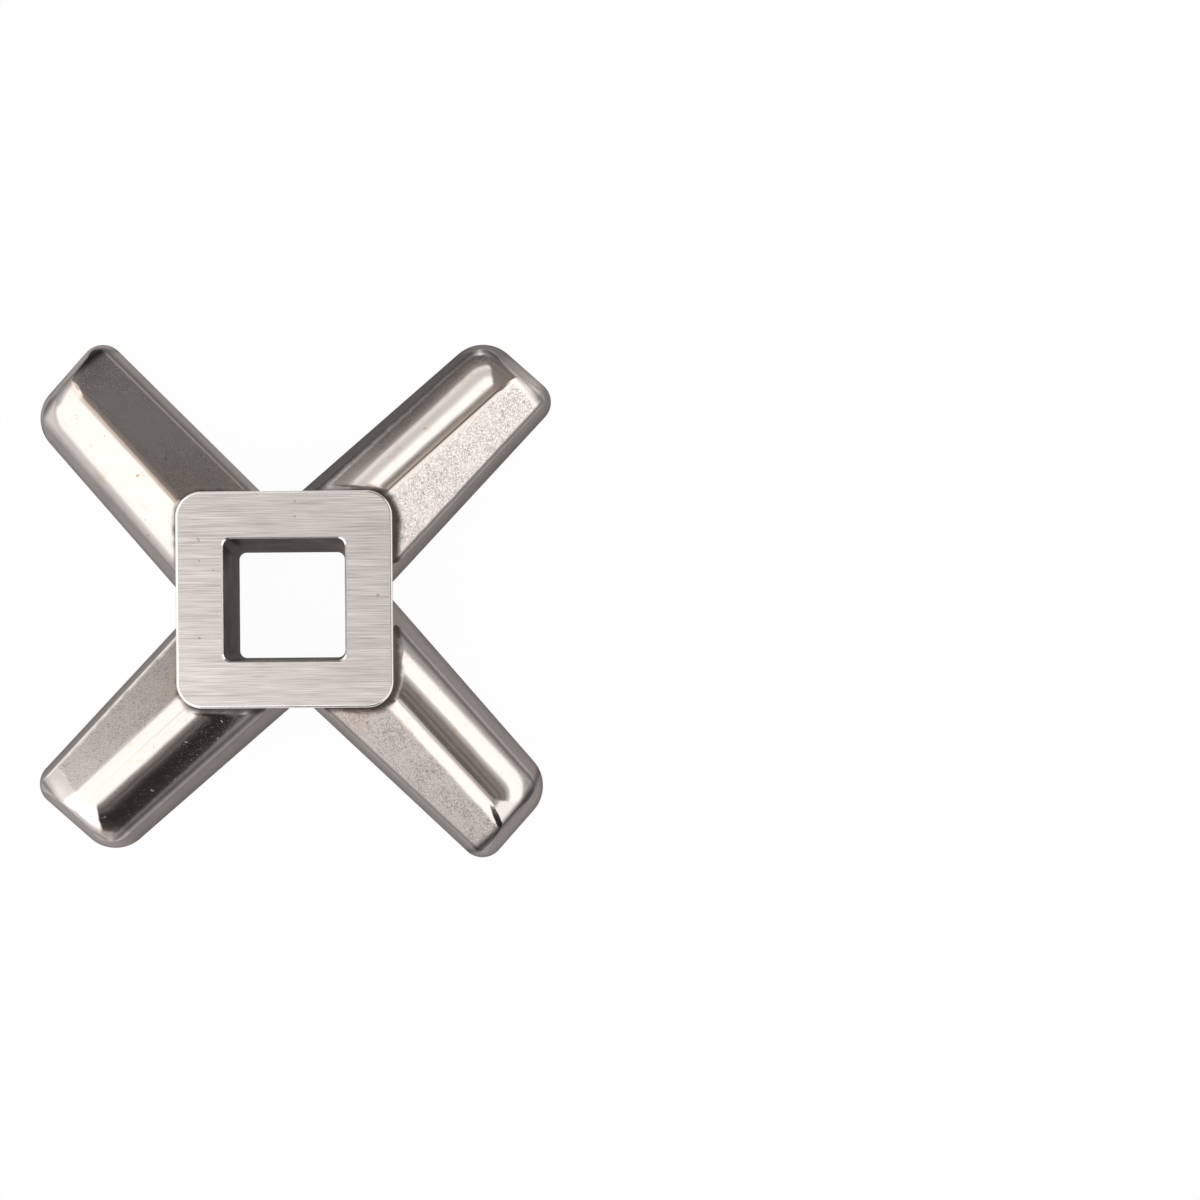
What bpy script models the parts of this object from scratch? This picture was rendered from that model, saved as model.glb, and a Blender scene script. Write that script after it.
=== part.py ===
"""A four-bladed meat grinder knife, cast in stainless steel in one piece.

It lies on its ground cutting face with the square drive hub standing up in the middle.
Units are metres and +Z is up. The origin is the middle of the cutting face.

A blade is described looking outwards from the hub: x runs out along it and y to its left. Its left
half is the rounded flank, its right half is the flat sloping facet, and the crest lies between them.
"""

import math
from collections import namedtuple
from functools import partial

import bmesh
import bpy
from mathutils import Vector

# Drive hub and its square hole. The hole's side is measured at the cutting face.
HUB_SIDE = 0.0196
HUB_HEIGHT = 0.0125
HUB_CORNER = 0.0023
HOLE_SIDE = 0.0104
HOLE_CORNER = 0.0007
HOLE_DRAFT = math.radians(1.4)
RIM_ROUND = 0.00025

# Blades, seen from above
BLADE_REACH = 0.0317
TIP_SKEW = math.radians(3.2)
FLANK_OFFSET = 0.0077
FLANK_TAPER = math.radians(4.3)
FACET_OFFSET = 0.0061
FACET_TAPER = math.radians(1.2)
CREST_OFFSET = 0.0014
CREST_TURN = math.radians(3.1)
FLANK_CORNER = 0.0037
FACET_CORNER = 0.0022

# Blades, in section. The crest's height and the flank wall's are measured at the hub.
CREST_HEIGHT = 0.0080
FLANK_WALL = 0.0055
FLANK_SINK = math.radians(2.9)
FACET_WALL = 0.0037
SIDE_DRAFT = math.radians(13.5)
TIP_DRAFT = math.radians(20.0)
CREST_ROUND = 0.0007
EDGE_ROUND = 0.0003
FLANK_FULLNESS = 1.8

# The upper face falls over this run to the end wall, by this share of the flank's own fall. The blend
# sets how square the bands are where they turn round the tip.
TIP_RUN = 0.0026
TIP_SHARE = 0.62
TIP_BLEND = 2.4

# Concave fillet where a blade meets the hub
FILLET_RUN = 0.0018
FILLET_RISE = 0.0014
FILLET_FULLNESS = 2.5

# How far inside the hub a blade starts, and how far that start is turned from the hub's wall
ROOT_OVERLAP = 0.0005
ROOT_TURN = math.radians(2.0)

# Each blade was finished by hand: how its reach, sides and crest differ from the sizes above.
BladeTrim = namedtuple("BladeTrim", "reach flank facet taper crest")
TRIMS = (
    BladeTrim(1.027, 1.000, 0.975, math.radians(0.6), 0.8),
    BladeTrim(1.000, 1.010, 0.911, math.radians(-1.3), 0.8),
    BladeTrim(0.972, 1.006, 1.099, math.radians(0.5), 1.8),
    BladeTrim(0.997, 0.993, 1.022, math.radians(0.3), 1.8),
)

# Rows of a blade's mesh along its rim, and columns from its rim to its crest
FILLET_ROWS = 6
SIDE_ROWS = 9
FLANK_CORNER_ROWS = 12
END_ROWS = 5
FACET_CORNER_ROWS = 8
TOP_COLUMNS = 11
COLUMN_CROWDING = 1.5
EDGE_COLUMNS = 3

CORNER_SEGMENTS = 8
RIM_SEGMENTS = 2
CUTTER_MARGIN = 0.002
SETTLING_STEPS = 8
WELD_DISTANCE = 1e-6
SHARP_ANGLE = math.radians(20)
FLATS_WEIGHT = 100
STEEL_COLOUR = (0.60, 0.58, 0.56, 1.0)
STEEL_ROUGHNESS = 0.22

# A straight side of the blade: the way that it faces, its distance from the origin and its wall's draft
Side = namedtuple("Side", "facing distance draft")
# A place on the blade's rim: its point on the cutting face, the way that it faces and its wall's draft
RimPlace = namedtuple("RimPlace", "point facing draft")


def clear_scene():
    for thing in list(bpy.data.objects):
        bpy.data.objects.remove(thing, do_unlink=True)


def new_collection(name):
    collection = bpy.data.collections.new(name)
    bpy.context.scene.collection.children.link(collection)
    return collection


def new_object(name, bm, collection):
    """An object from this bmesh, with its faces pointing out and shaded smooth between its sharp edges."""
    sharpen(bm)
    mesh = bpy.data.meshes.new(name)
    bm.to_mesh(mesh)
    bm.free()
    mesh.shade_smooth()
    thing = bpy.data.objects.new(name, mesh)
    collection.objects.link(thing)
    return thing


def steel():
    material = bpy.data.materials.new("cast_steel")
    material.use_nodes = True
    shader = material.node_tree.nodes["Principled BSDF"]
    shader.inputs["Base Color"].default_value = STEEL_COLOUR
    shader.inputs["Metallic"].default_value = 1.0
    shader.inputs["Roughness"].default_value = STEEL_ROUGHNESS
    return material


def sharpen(bm):
    """Turns the faces outwards and marks the edges at which the shading breaks."""
    bmesh.ops.recalc_face_normals(bm, faces=bm.faces[:])
    for edge in bm.edges:
        edge.smooth = edge.calc_face_angle() < SHARP_ANGLE


def add_boolean(target, tool, operation):
    step = target.modifiers.new(tool.name, "BOOLEAN")
    step.operation = operation
    step.solver = "EXACT"
    step.object = tool
    tool.hide_render = True
    tool.display_type = "WIRE"


def keep_flats(thing):
    """Lets the large faces set the shading, so that the flat ones look flat up to their edges."""
    step = thing.modifiers.new("flats", "WEIGHTED_NORMAL")
    step.keep_sharp = True
    step.weight = FLATS_WEIGHT


def square_block(side, base, top, corner, draft):
    """A square block with rounded upright corners. Its side is measured at height 0 and grows with the draft."""
    bm = bmesh.new()
    bmesh.ops.create_cube(bm, size=1.0)
    for vert in bm.verts:
        vert.co.z = top if vert.co.z > 0 else base
        half = side / 2 + vert.co.z * math.tan(draft)
        vert.co.x = math.copysign(half, vert.co.x)
        vert.co.y = math.copysign(half, vert.co.y)
    upright = [edge for edge in bm.edges if edge.verts[0].co.z != edge.verts[1].co.z]
    bmesh.ops.bevel(
        bm, geom=upright, offset=corner, segments=CORNER_SEGMENTS, profile=0.5, affect="EDGES"
    )
    return bm


def top_face(bm):
    return max(bm.faces, key=lambda face: face.calc_center_median().z)


def hub_block():
    """The hub before its hole is cut, with the rim of its top face rounded."""
    bm = square_block(HUB_SIDE, 0.0, HUB_HEIGHT, HUB_CORNER, 0.0)
    rim = top_face(bm).edges[:]
    bmesh.ops.bevel(
        bm, geom=rim, offset=RIM_ROUND, segments=RIM_SEGMENTS, profile=0.5, affect="EDGES"
    )
    return bm


def hole_block():
    """The drive hole as a solid, with a flare at its mouth that breaks the edge."""
    bm = square_block(
        HOLE_SIDE, -CUTTER_MARGIN, HUB_HEIGHT - RIM_ROUND, HOLE_CORNER, HOLE_DRAFT
    )
    mouth = top_face(bm)
    half = max(vert.co.x for vert in mouth.verts)
    made = bmesh.ops.extrude_face_region(bm, geom=[mouth])["geom"]
    bm.faces.remove(mouth)
    flare = RIM_ROUND + CUTTER_MARGIN
    for vert in made:
        if isinstance(vert, bmesh.types.BMVert):
            vert.co.x *= (half + flare) / half
            vert.co.y *= (half + flare) / half
            vert.co.z += flare
    return bm


def unit(angle):
    return Vector((math.cos(angle), math.sin(angle)))


def flank_side(trim, x):
    return FLANK_OFFSET * trim.flank - x * math.tan(FLANK_TAPER)


def facet_side(trim, x):
    return -FACET_OFFSET * trim.facet + x * math.tan(FACET_TAPER + trim.taper)


def crest_side(x):
    return CREST_OFFSET - x * math.tan(CREST_TURN)


def tip_line(trim, y):
    return BLADE_REACH * trim.reach - y * math.tan(TIP_SKEW)


def facet_edge(trim, x):
    """The y of the facet's lower edge, on top of its wall."""
    return facet_side(trim, x) + FACET_WALL * math.tan(SIDE_DRAFT)


def flank_wall(x):
    """The height of the flank's wall, which sinks towards the tip."""
    return FLANK_WALL - (x - HUB_SIDE / 2) * math.tan(FLANK_SINK)


def flank_edge(trim, x):
    """The y of the flank's lower edge, on top of its wall."""
    return flank_side(trim, x) - flank_wall(x) * math.tan(SIDE_DRAFT)


def crest_round(trim):
    return CREST_ROUND * trim.crest


def facet_slope(trim):
    """The slope that brings the flat facet up to the crest's height at the hub's corner."""
    x = HUB_SIDE / math.sqrt(2)
    width = crest_side(x) - crest_round(trim) / 2 - facet_edge(trim, x)
    return (CREST_HEIGHT - FACET_WALL) / width


def hub_gap(x, y):
    """How far a point lies outside the hub, seen from above. The blade starts at a corner of the hub."""
    flat = HUB_SIDE / 2 - HUB_CORNER
    a = (x + y) / math.sqrt(2) - flat
    b = (x - y) / math.sqrt(2) - flat
    if a > 0 and b > 0:
        return math.hypot(a, b) - HUB_CORNER
    return max(a, b) - HUB_CORNER


def hub_line(out, y):
    """How far out along the blade the hub's wall lies at this y, grown outwards by out."""
    radius = HUB_CORNER + out
    point = (HUB_SIDE / 2 + out) * math.sqrt(2)
    if abs(y) > radius / math.sqrt(2):
        return point - abs(y)
    return point - radius * math.sqrt(2) + math.sqrt(radius * radius - y * y)


def tip_share(trim, x, y):
    """How far the upper face is into its fall at the tip, from 0 before it."""
    inside = tip_line(trim, y) - x - FLANK_WALL * math.tan(TIP_DRAFT)
    return TIP_SHARE * max(0.0, 1 - inside / TIP_RUN)


def upper_height(trim, x, y):
    """The height of the upper face: a flat facet, a rounded crest, a full flank and the fillet at the hub."""
    crest = crest_side(x)
    slope = facet_slope(trim)
    ease = crest_round(trim)
    top = FACET_WALL + slope * (crest - ease / 2 - facet_edge(trim, x))
    fall = top - flank_wall(x)
    at_tip = tip_share(trim, x, y)
    if y > crest:
        across = (y - crest) / (flank_edge(trim, x) - crest)
        share = (across**TIP_BLEND + at_tip**TIP_BLEND) ** (1 / TIP_BLEND)
        height = top - fall * share**FLANK_FULLNESS
    else:
        near = max(0.0, 1 - (crest - y) / (crest - facet_edge(trim, x)))
        height = top - slope * max(crest - y - ease / 2, 0.0)
        if crest - y < ease:
            height = top - slope * (crest - y) ** 2 / (2 * ease)
        height -= fall * at_tip**FLANK_FULLNESS * near**2
    lift = max(0.0, 1 - hub_gap(x, y) / FILLET_RUN)
    return height + FILLET_RISE * lift**FILLET_FULLNESS


def settle(line, side, x):
    """The x where a side, given as y at x, crosses a line, given as x at y."""
    for _ in range(SETTLING_STEPS):
        x = line(side(x))
    return x


def corner_centre(first, second, radius):
    """The centre of the arc that joins two sides."""
    a, b = unit(first.facing), unit(second.facing)
    near_a, near_b = first.distance - radius, second.distance - radius
    spread = a.x * b.y - a.y * b.x
    return Vector((near_a * b.y - near_b * a.y, near_b * a.x - near_a * b.x)) / spread


def corner_places(first, second, radius, count):
    """Places round the arc that joins two sides. The draft changes from the first side's to the second's."""
    centre = corner_centre(first, second, radius)
    places = []
    for index in range(count + 1):
        share = index / count
        facing = first.facing + (second.facing - first.facing) * share
        draft = first.draft + (second.draft - first.draft) * share
        places.append(RimPlace(centre + radius * unit(facing), facing, draft))
    return places


def end_places(start, middle, stop):
    """Places along the straight end of the tip, one of them on the crest's line."""
    places = []
    for near, far in ((start, middle), (middle, stop)):
        for index in range(END_ROWS):
            point = near.lerp(far, (index + 1) / END_ROWS)
            places.append(RimPlace(point, TIP_SKEW, TIP_DRAFT))
    return places[:-1]


def tip_places(trim):
    """The rim's places round the tip, from the end of the flank's straight side to that of the facet's."""
    taper = FACET_TAPER + trim.taper
    reach = BLADE_REACH * trim.reach
    flank_distance = FLANK_OFFSET * trim.flank * math.cos(FLANK_TAPER)
    facet_distance = FACET_OFFSET * trim.facet * math.cos(taper)
    flank = Side(math.pi / 2 - FLANK_TAPER, flank_distance, SIDE_DRAFT)
    end = Side(TIP_SKEW, reach * math.cos(TIP_SKEW), TIP_DRAFT)
    facet = Side(taper - math.pi / 2, facet_distance, SIDE_DRAFT)
    first = corner_places(flank, end, FLANK_CORNER, FLANK_CORNER_ROWS)
    last = corner_places(end, facet, FACET_CORNER, FACET_CORNER_ROWS)
    crest_x = settle(partial(tip_line, trim), crest_side, reach)
    middle = Vector((crest_x, crest_side(crest_x)))
    return first + end_places(first[-1].point, middle, last[0].point) + last


def crest_end(trim):
    """Where the crest stops and the rows start to fan out round the tip."""
    lean = FLANK_WALL * math.tan(TIP_DRAFT)
    x = settle(partial(tip_line, trim), crest_side, BLADE_REACH * trim.reach) - lean - TIP_RUN / 2
    return Vector((x, crest_side(x)))


def root_line(y):
    """Where a blade starts inside the hub. The turn keeps two blades from starting in one plane."""
    return hub_line(-ROOT_OVERLAP, y) + y * math.tan(ROOT_TURN)


def column_shares():
    """The columns' places on the upper face, from 1 at its rim to 0 at the crest."""
    shares = [(index / TOP_COLUMNS) ** COLUMN_CROWDING for index in range(TOP_COLUMNS + 1)]
    return shares[::-1]


def row_points(trim, foot, top, path):
    """One row from the foot up the wall, round its upper edge and along the upper face to the crest."""
    foot = foot.to_3d()
    peak = Vector((*top, upper_height(trim, *top)))
    wall = peak + (foot - peak).normalized() * EDGE_ROUND
    inner = 1 - EDGE_ROUND / (top - path(0.0)).length
    points = [foot]
    face = []
    for share in column_shares():
        place = path(inner * share)
        face.append(Vector((*place, upper_height(trim, *place))))
    for index in range(EDGE_COLUMNS):
        share = index / EDGE_COLUMNS
        points.append(wall.lerp(peak, share).lerp(peak.lerp(face[0], share), share))
    return points + face


def fillet_row(trim, side, inward, line):
    """A row near the hub, along a line that follows the hub's wall."""
    foot_x = settle(line, side, HUB_SIDE / 2)
    crest_x = settle(line, crest_side, HUB_SIDE / 2)
    top = Vector((foot_x, side(foot_x)))
    for _ in range(SETTLING_STEPS):
        y = side(top.x) + inward * upper_height(trim, *top) * math.tan(SIDE_DRAFT)
        top = Vector((line(y), y))

    def path(share):
        y = crest_side(crest_x) + share * (top.y - crest_side(crest_x))
        return Vector((line(y), y))

    return row_points(trim, Vector((foot_x, side(foot_x))), top, path)


def tip_row(trim, place):
    """A row of the fan round the tip, which runs straight in from the rim to the crest's end."""
    centre = crest_end(trim)
    top = place.point
    for _ in range(SETTLING_STEPS):
        lean = upper_height(trim, *top) * math.tan(place.draft)
        top = place.point - lean * unit(place.facing)
    return row_points(trim, place.point, top, partial(centre.lerp, top))


def side_rows(trim, near, far):
    """The rows between one at the hub and one at the tip."""
    rows = []
    for index in range(1, SIDE_ROWS):
        row = [start.lerp(stop, index / SIDE_ROWS) for start, stop in zip(near, far)]
        for point in row[1 + EDGE_COLUMNS :]:
            point.z = upper_height(trim, point.x, point.y)
        rows.append(row)
    return rows


def blade_rows(trim):
    """All rows of a blade, from the hub along the flank, round the tip and back along the facet."""
    lines = [root_line]
    for index in range(FILLET_ROWS):
        lines.append(partial(hub_line, FILLET_RUN * (index + 1) / FILLET_ROWS))
    flank = [fillet_row(trim, partial(flank_side, trim), -1, line) for line in lines]
    facet = [fillet_row(trim, partial(facet_side, trim), 1, line) for line in lines]
    tip = [tip_row(trim, place) for place in tip_places(trim)]
    flank += side_rows(trim, flank[-1], tip[0])
    facet += side_rows(trim, facet[-1], tip[-1])
    return flank + tip + facet[::-1]


def blade_mesh(trim):
    """A blade: its rows as one sheet, welded along the crest, with a curtain at the root and a flat foot."""
    rows = blade_rows(trim)
    last_row, last_column = len(rows) - 1, len(rows[0]) - 1
    bm = bmesh.new()
    grid = bmesh.ops.create_grid(bm, x_segments=last_row, y_segments=last_column, size=0.5)
    root = set()
    for vert in grid["verts"]:
        row = round((vert.co.x + 0.5) * last_row)
        vert.co = rows[row][round((vert.co.y + 0.5) * last_column)]
        if row in (0, last_row):
            root.add(vert)
    ends = [edge for edge in bm.edges if edge.is_boundary and root.issuperset(edge.verts)]
    curtain = bmesh.ops.extrude_edge_only(bm, edges=ends)["geom"]
    for vert in curtain:
        if isinstance(vert, bmesh.types.BMVert):
            vert.co.z = 0.0
    bmesh.ops.remove_doubles(bm, verts=bm.verts[:], dist=WELD_DISTANCE)
    rim = [edge for edge in bm.edges if edge.is_boundary]
    bmesh.ops.contextual_create(bm, geom=rim)
    return bm


def make_blade(index, trim, collection):
    """One blade, turned to its place round the hub."""
    blade = new_object(f"blade_{index + 1}", blade_mesh(trim), collection)
    blade.rotation_euler.z = math.radians(45 + 360 / len(TRIMS) * index)
    return blade


def main():
    clear_scene()
    parts = new_collection("meat_grinder_knife")
    cutters = new_collection("cutters")
    knife = new_object("grinder_knife", hub_block(), parts)
    add_boolean(knife, new_object("drive_hole", hole_block(), cutters), "DIFFERENCE")
    for index, trim in enumerate(TRIMS):
        add_boolean(knife, make_blade(index, trim, cutters), "UNION")
    keep_flats(knife)
    knife.data.materials.append(steel())


main()
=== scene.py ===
# %% [markdown]
# # A meat grinder knife: its form, its finishes, its studio and its camera
#
# The knife is one steel casting: a square hub with four blades. Its solid comes ready packed as the frame, at
# its real size. This script builds the same form again with a finer mesh, gives each surface the finish that
# its maker left on it, and puts it in the pale studio in which such steel shows its form.

import math
from collections import namedtuple
from functools import partial

import bmesh
import bpy
from mathutils import Matrix, Vector, noise


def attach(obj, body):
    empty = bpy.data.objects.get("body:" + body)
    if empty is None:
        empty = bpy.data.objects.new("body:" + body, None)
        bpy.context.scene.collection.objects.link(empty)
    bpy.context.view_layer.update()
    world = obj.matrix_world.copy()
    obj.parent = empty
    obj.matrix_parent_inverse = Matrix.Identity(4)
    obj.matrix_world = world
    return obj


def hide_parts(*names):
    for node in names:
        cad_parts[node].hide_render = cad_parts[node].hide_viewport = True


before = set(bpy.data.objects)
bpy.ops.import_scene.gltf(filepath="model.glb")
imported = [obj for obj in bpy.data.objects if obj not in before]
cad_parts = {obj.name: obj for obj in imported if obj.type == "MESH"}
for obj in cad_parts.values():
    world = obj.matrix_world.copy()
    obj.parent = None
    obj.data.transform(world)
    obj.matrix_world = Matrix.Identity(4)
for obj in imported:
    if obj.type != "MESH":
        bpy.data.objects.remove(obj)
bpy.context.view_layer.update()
MM = 1000.0


# %% [markdown]
# ## The camera
#
# The knife lies flat and the camera hangs straight above it, a little to one side, so the walls of the square
# hole show unequally. A camera that looks straight down with its sensor shifted keeps the cutting face an
# undistorted plane. Tilting the camera instead would make the far blades smaller. The knife was not laid
# quite square to the picture, so the camera turns by half a degree about the hub's axis.

# %% Camera
IMAGE_SIDE = 1200
PX_PER_METRE = 10100
CAMERA_HEIGHT = 0.139
KNIFE_CENTRE_PX = (292.5, 602.0)
LENS_AXIS_PX = (378.0, 628.0)
CAMERA_TURN = math.radians(-0.45)
SENSOR_WIDTH = 36.0


def make_camera():
    data = bpy.data.cameras.new("camera")
    data.sensor_width = SENSOR_WIDTH
    data.lens = PX_PER_METRE * CAMERA_HEIGHT * SENSOR_WIDTH / IMAGE_SIDE
    data.shift_x = (IMAGE_SIDE / 2 - LENS_AXIS_PX[0]) / IMAGE_SIDE
    data.shift_y = (LENS_AXIS_PX[1] - IMAGE_SIDE / 2) / IMAGE_SIDE
    aside = (LENS_AXIS_PX[0] - KNIFE_CENTRE_PX[0]) / PX_PER_METRE
    ahead = (KNIFE_CENTRE_PX[1] - LENS_AXIS_PX[1]) / PX_PER_METRE
    made = bpy.data.objects.new("camera", data)
    made.location = Matrix.Rotation(CAMERA_TURN, 3, "Z") @ Vector((aside, ahead, CAMERA_HEIGHT))
    made.rotation_euler.z = CAMERA_TURN
    bpy.context.scene.collection.objects.link(made)
    bpy.context.scene.camera = made
    return made


camera = make_camera()
shifts = round(camera.data.shift_x, 3), round(camera.data.shift_y, 3)
print("lens", round(camera.data.lens, 1), "mm, shift", *shifts)

# %% [markdown]
# ## Writing node trees as expressions
#
# A finish is mostly arithmetic on masks. Drawn as nodes it is hard to read, so two small classes let it be
# written as Python: a wire carries a socket and turns arithmetic into Math nodes, and a board holds the node
# tree and makes every other node.

# %% Wires and boards
class Wire:
    """A node's output. Arithmetic on it adds Math nodes."""

    def __init__(self, board, socket):
        self.board = board
        self.socket = socket

    def __add__(self, other):
        return self.board.maths("ADD", self, other)

    def __radd__(self, other):
        return self.board.maths("ADD", other, self)

    def __sub__(self, other):
        return self.board.maths("SUBTRACT", self, other)

    def __rsub__(self, other):
        return self.board.maths("SUBTRACT", other, self)

    def __mul__(self, other):
        return self.board.maths("MULTIPLY", self, other)

    def __rmul__(self, other):
        return self.board.maths("MULTIPLY", other, self)

    def __abs__(self):
        return self.board.maths("ABSOLUTE", self)


class Board:
    """A node tree whose nodes are all made by one method."""

    def __init__(self, tree):
        self.tree = tree
        tree.nodes.clear()

    def node(self, kind, settings=None, sockets=None):
        """A node of this type, with its settings and then the values or links of its sockets."""
        made = self.tree.nodes.new(kind)
        for name, value in (settings or {}).items():
            if name == "stops":
                self.set_stops(made.color_ramp, value)
            else:
                setattr(made, name, value)
        for name, value in (sockets or {}).items():
            if isinstance(value, Wire):
                self.tree.links.new(value.socket, made.inputs[name])
            else:
                made.inputs[name].default_value = value
        return made

    def set_stops(self, ramp, stops):
        while len(ramp.elements) < len(stops):
            ramp.elements.new(1.0)
        for element, (position, colour) in zip(ramp.elements, stops):
            element.position = position
            element.color = colour

    def wire(self, output, kind, settings=None, sockets=None):
        return Wire(self, self.node(kind, settings, sockets).outputs[output])

    def maths(self, operation, *values):
        sockets = dict(enumerate(values))
        return self.wire(0, "ShaderNodeMath", {"operation": operation}, sockets)

    def ease(self, value, start, stop):
        """A smooth step from 0 at start to 1 at stop."""
        sockets = {"Value": value, "From Min": start, "From Max": stop}
        return self.wire(0, "ShaderNodeMapRange", {"interpolation_type": "SMOOTHSTEP"}, sockets)

    def blend(self, share, first, second):
        """Two colours mixed by a share. A Mix node's colours are its inputs 6 and 7 and its output 2."""
        sockets = {"Factor": share, 6: first, 7: second}
        return self.wire(2, "ShaderNodeMix", {"data_type": "RGBA"}, sockets)

    def shade(self, colour, amount):
        """A colour made lighter or darker by a value."""
        return self.wire(0, "ShaderNodeVectorMath", {"operation": "SCALE"}, {0: colour, "Scale": amount})

    def measure(self, name):
        """A value that the mesh carries under this name."""
        return self.wire("Fac", "ShaderNodeAttribute", {"attribute_name": name})

    def noise(self, where, scale, detail=2.0, roughness=0.5, distortion=0.0):
        sockets = {"Vector": where, "Scale": scale, "Detail": detail}
        sockets.update({"Roughness": roughness, "Distortion": distortion})
        return self.wire(0, "ShaderNodeTexNoise", None, sockets)

    def stretch(self, where, along, turn=0.0):
        """Coordinates whose pattern is drawn out by these scales after a turn about the upright axis."""
        sockets = {"Vector": where, "Rotation": (0.0, 0.0, turn), "Scale": along}
        return self.wire(0, "ShaderNodeMapping", {"vector_type": "POINT"}, sockets)


def grey(value):
    return (value, value, value, 1.0)


print("white as a colour socket takes it:", grey(1.0))

# %% [markdown]
# ## The studio
#
# Polished steel has hardly any colour of its own: it shows the room. Such knives are photographed in a white
# tent with openings and dark cards, so each rounded flank turns into bright and dark bands. Lamps would give
# only small glints, so the tent itself is the light here: a world of panels round the knife, each with bands
# from the floor up to the ceiling. A table of panels is easier to adjust than a tent of mesh planes.
#
# A band is an angle above the floor, in degrees, with a brightness that is a share of the tent's brightest
# cloth. A panel has the heading of its middle, half its width and the softness of its sides, in degrees too.

# %% The tent
Panel = namedtuple("Panel", "name middle half soft bands")
CLOTH = 1.7
CEILING = 0.59
CARD_TINT = (1.0, 0.95, 0.91, 1.0)
CLOTH_TINT = (1.0, 0.995, 0.985, 1.0)
TENT_BANDS = (
    (-90, 0.30), (-2, 0.30), (2, 0.42), (8, 0.62), (14, 0.95), (30, 1.0), (72, 1.0), (82, 0.62),
    (90, CEILING),
)
PANELS = (
    Panel("west", 198, 22, 12, (
        (-90, 0.34), (0, 0.50), (3, 0.62), (6, 0.95), (12, 1.0), (80, 1.0), (86, 0.84), (90, CEILING),
    )),
    Panel("north_west", 150, 24, 12, (
        (-90, 0.30), (0, 0.38), (6, 0.44), (11, 0.62), (16, 0.95), (55, 1.0), (64, 0.75), (72, 0.5),
        (82, CEILING),
    )),
    Panel("north", 104, 22, 10, (
        (-90, 0.2), (3, 0.11), (9, 0.15), (14, 0.26), (18, 0.72), (21, 0.66), (26, 0.54), (33, 0.58),
        (37, 0.8), (41, 1.0), (54, 1.0), (59, 0.45), (64, 0.22), (71, 0.2), (80, CEILING),
    )),
    Panel("north_east", 66, 24, 8, (
        (-90, 0.15), (6, 0.13), (14, 0.15), (30, 0.18), (45, 0.19), (58, 0.22), (68, 0.26), (82, CEILING),
    )),
    Panel("east", 14, 30, 8, (
        (-90, 0.2), (-2, 0.13), (4, 0.35), (8, 0.4), (10, 0.75), (12, 0.98), (29, 1.0), (33, 0.5),
        (38, 0.3), (42, 0.17), (48, 0.2), (54, 0.11), (59, 0.2), (64, 0.12), (70, 0.10), (76, 0.2),
        (84, CEILING),
    )),
    Panel("south_east", 326, 18, 8, (
        (-90, 0.4), (3, 0.55), (8, 0.78), (20, 0.86), (48, 0.86), (58, 0.35), (70, 0.24), (80, CEILING),
    )),
    Panel("south", 282, 21, 7, (
        (-90, 0.3), (0, 0.3), (5, 0.24), (8, 0.06), (14, 0.03), (22, 0.022), (32, 0.025), (38, 0.05),
        (42, 0.11), (47, 0.09), (51, 0.17), (56, 0.22), (60, 0.75), (63, 1.0), (72, 0.90), (77, 0.5),
        (90, 0.57),
    )),
)


def band_ramp(board, height, bands):
    stops = [((angle + 90) / 180, grey(level)) for angle, level in bands]
    return board.wire(0, "ShaderNodeValToRGB", {"stops": stops}, {"Fac": height})


def panel_share(board, heading, panel):
    """How much of a direction belongs to this panel, with soft upright edges."""
    middle = math.radians(panel.middle)
    facing = (math.cos(middle), math.sin(middle), 0.0)
    sockets = {0: heading, 1: facing}
    near = board.wire("Value", "ShaderNodeVectorMath", {"operation": "DOT_PRODUCT"}, sockets)
    aside = board.maths("ARCCOSINE", near)
    outer = math.radians(panel.half + panel.soft / 2)
    inner = math.radians(panel.half - panel.soft / 2)
    return board.ease(aside, outer, inner)


def make_tent():
    world = bpy.data.worlds.new("studio")
    world.use_nodes = True
    board = Board(world.node_tree)
    direction = board.wire("Generated", "ShaderNodeTexCoord")
    split = board.node("ShaderNodeSeparateXYZ", None, {0: direction})
    east, north, up = (Wire(board, output) for output in split.outputs)
    level = board.wire(0, "ShaderNodeCombineXYZ", None, {0: east, 1: north})
    heading = board.wire(0, "ShaderNodeVectorMath", {"operation": "NORMALIZE"}, {0: level})
    height = board.maths("ARCSINE", up) * (1 / math.pi) + 0.5
    light = band_ramp(board, height, TENT_BANDS)
    for panel in PANELS:
        share = panel_share(board, heading, panel)
        light = board.blend(share, light, band_ramp(board, height, panel.bands))
    bright = board.ease(light, 0.2, 0.6)
    tint = board.blend(bright, CARD_TINT, CLOTH_TINT)
    colour = board.wire(0, "ShaderNodeVectorMath", {"operation": "MULTIPLY"}, {0: light, 1: tint})
    tent = board.wire(0, "ShaderNodeBackground", None, {"Color": colour, "Strength": CLOTH})
    backdrop = board.wire(0, "ShaderNodeBackground", None, {"Color": grey(1.0), "Strength": 1.0})
    seen = board.wire("Is Camera Ray", "ShaderNodeLightPath")
    shown = board.wire(0, "ShaderNodeMixShader", None, {"Fac": seen, 1: tent, 2: backdrop})
    board.node("ShaderNodeOutputWorld", None, {"Surface": shown})
    bpy.context.scene.world = world


bpy.context.scene.view_settings.view_transform = "Standard"
make_tent()
print("tent panels:", ", ".join(panel.name for panel in PANELS))

# %% [markdown]
# ## The floor
#
# The knife lies on white paper. To the camera and in the steel's reflections the paper glows white by itself,
# and a small share of it stays ordinary paper, which keeps the knife's faint shadow. To all other rays it is
# plain pale paper, so it throws no more light on the knife than paper does.

# %% Floor
FLOOR_SIZE = 2.0
PAPER = grey(0.8)
SHADOW_SHARE = 0.03


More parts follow.
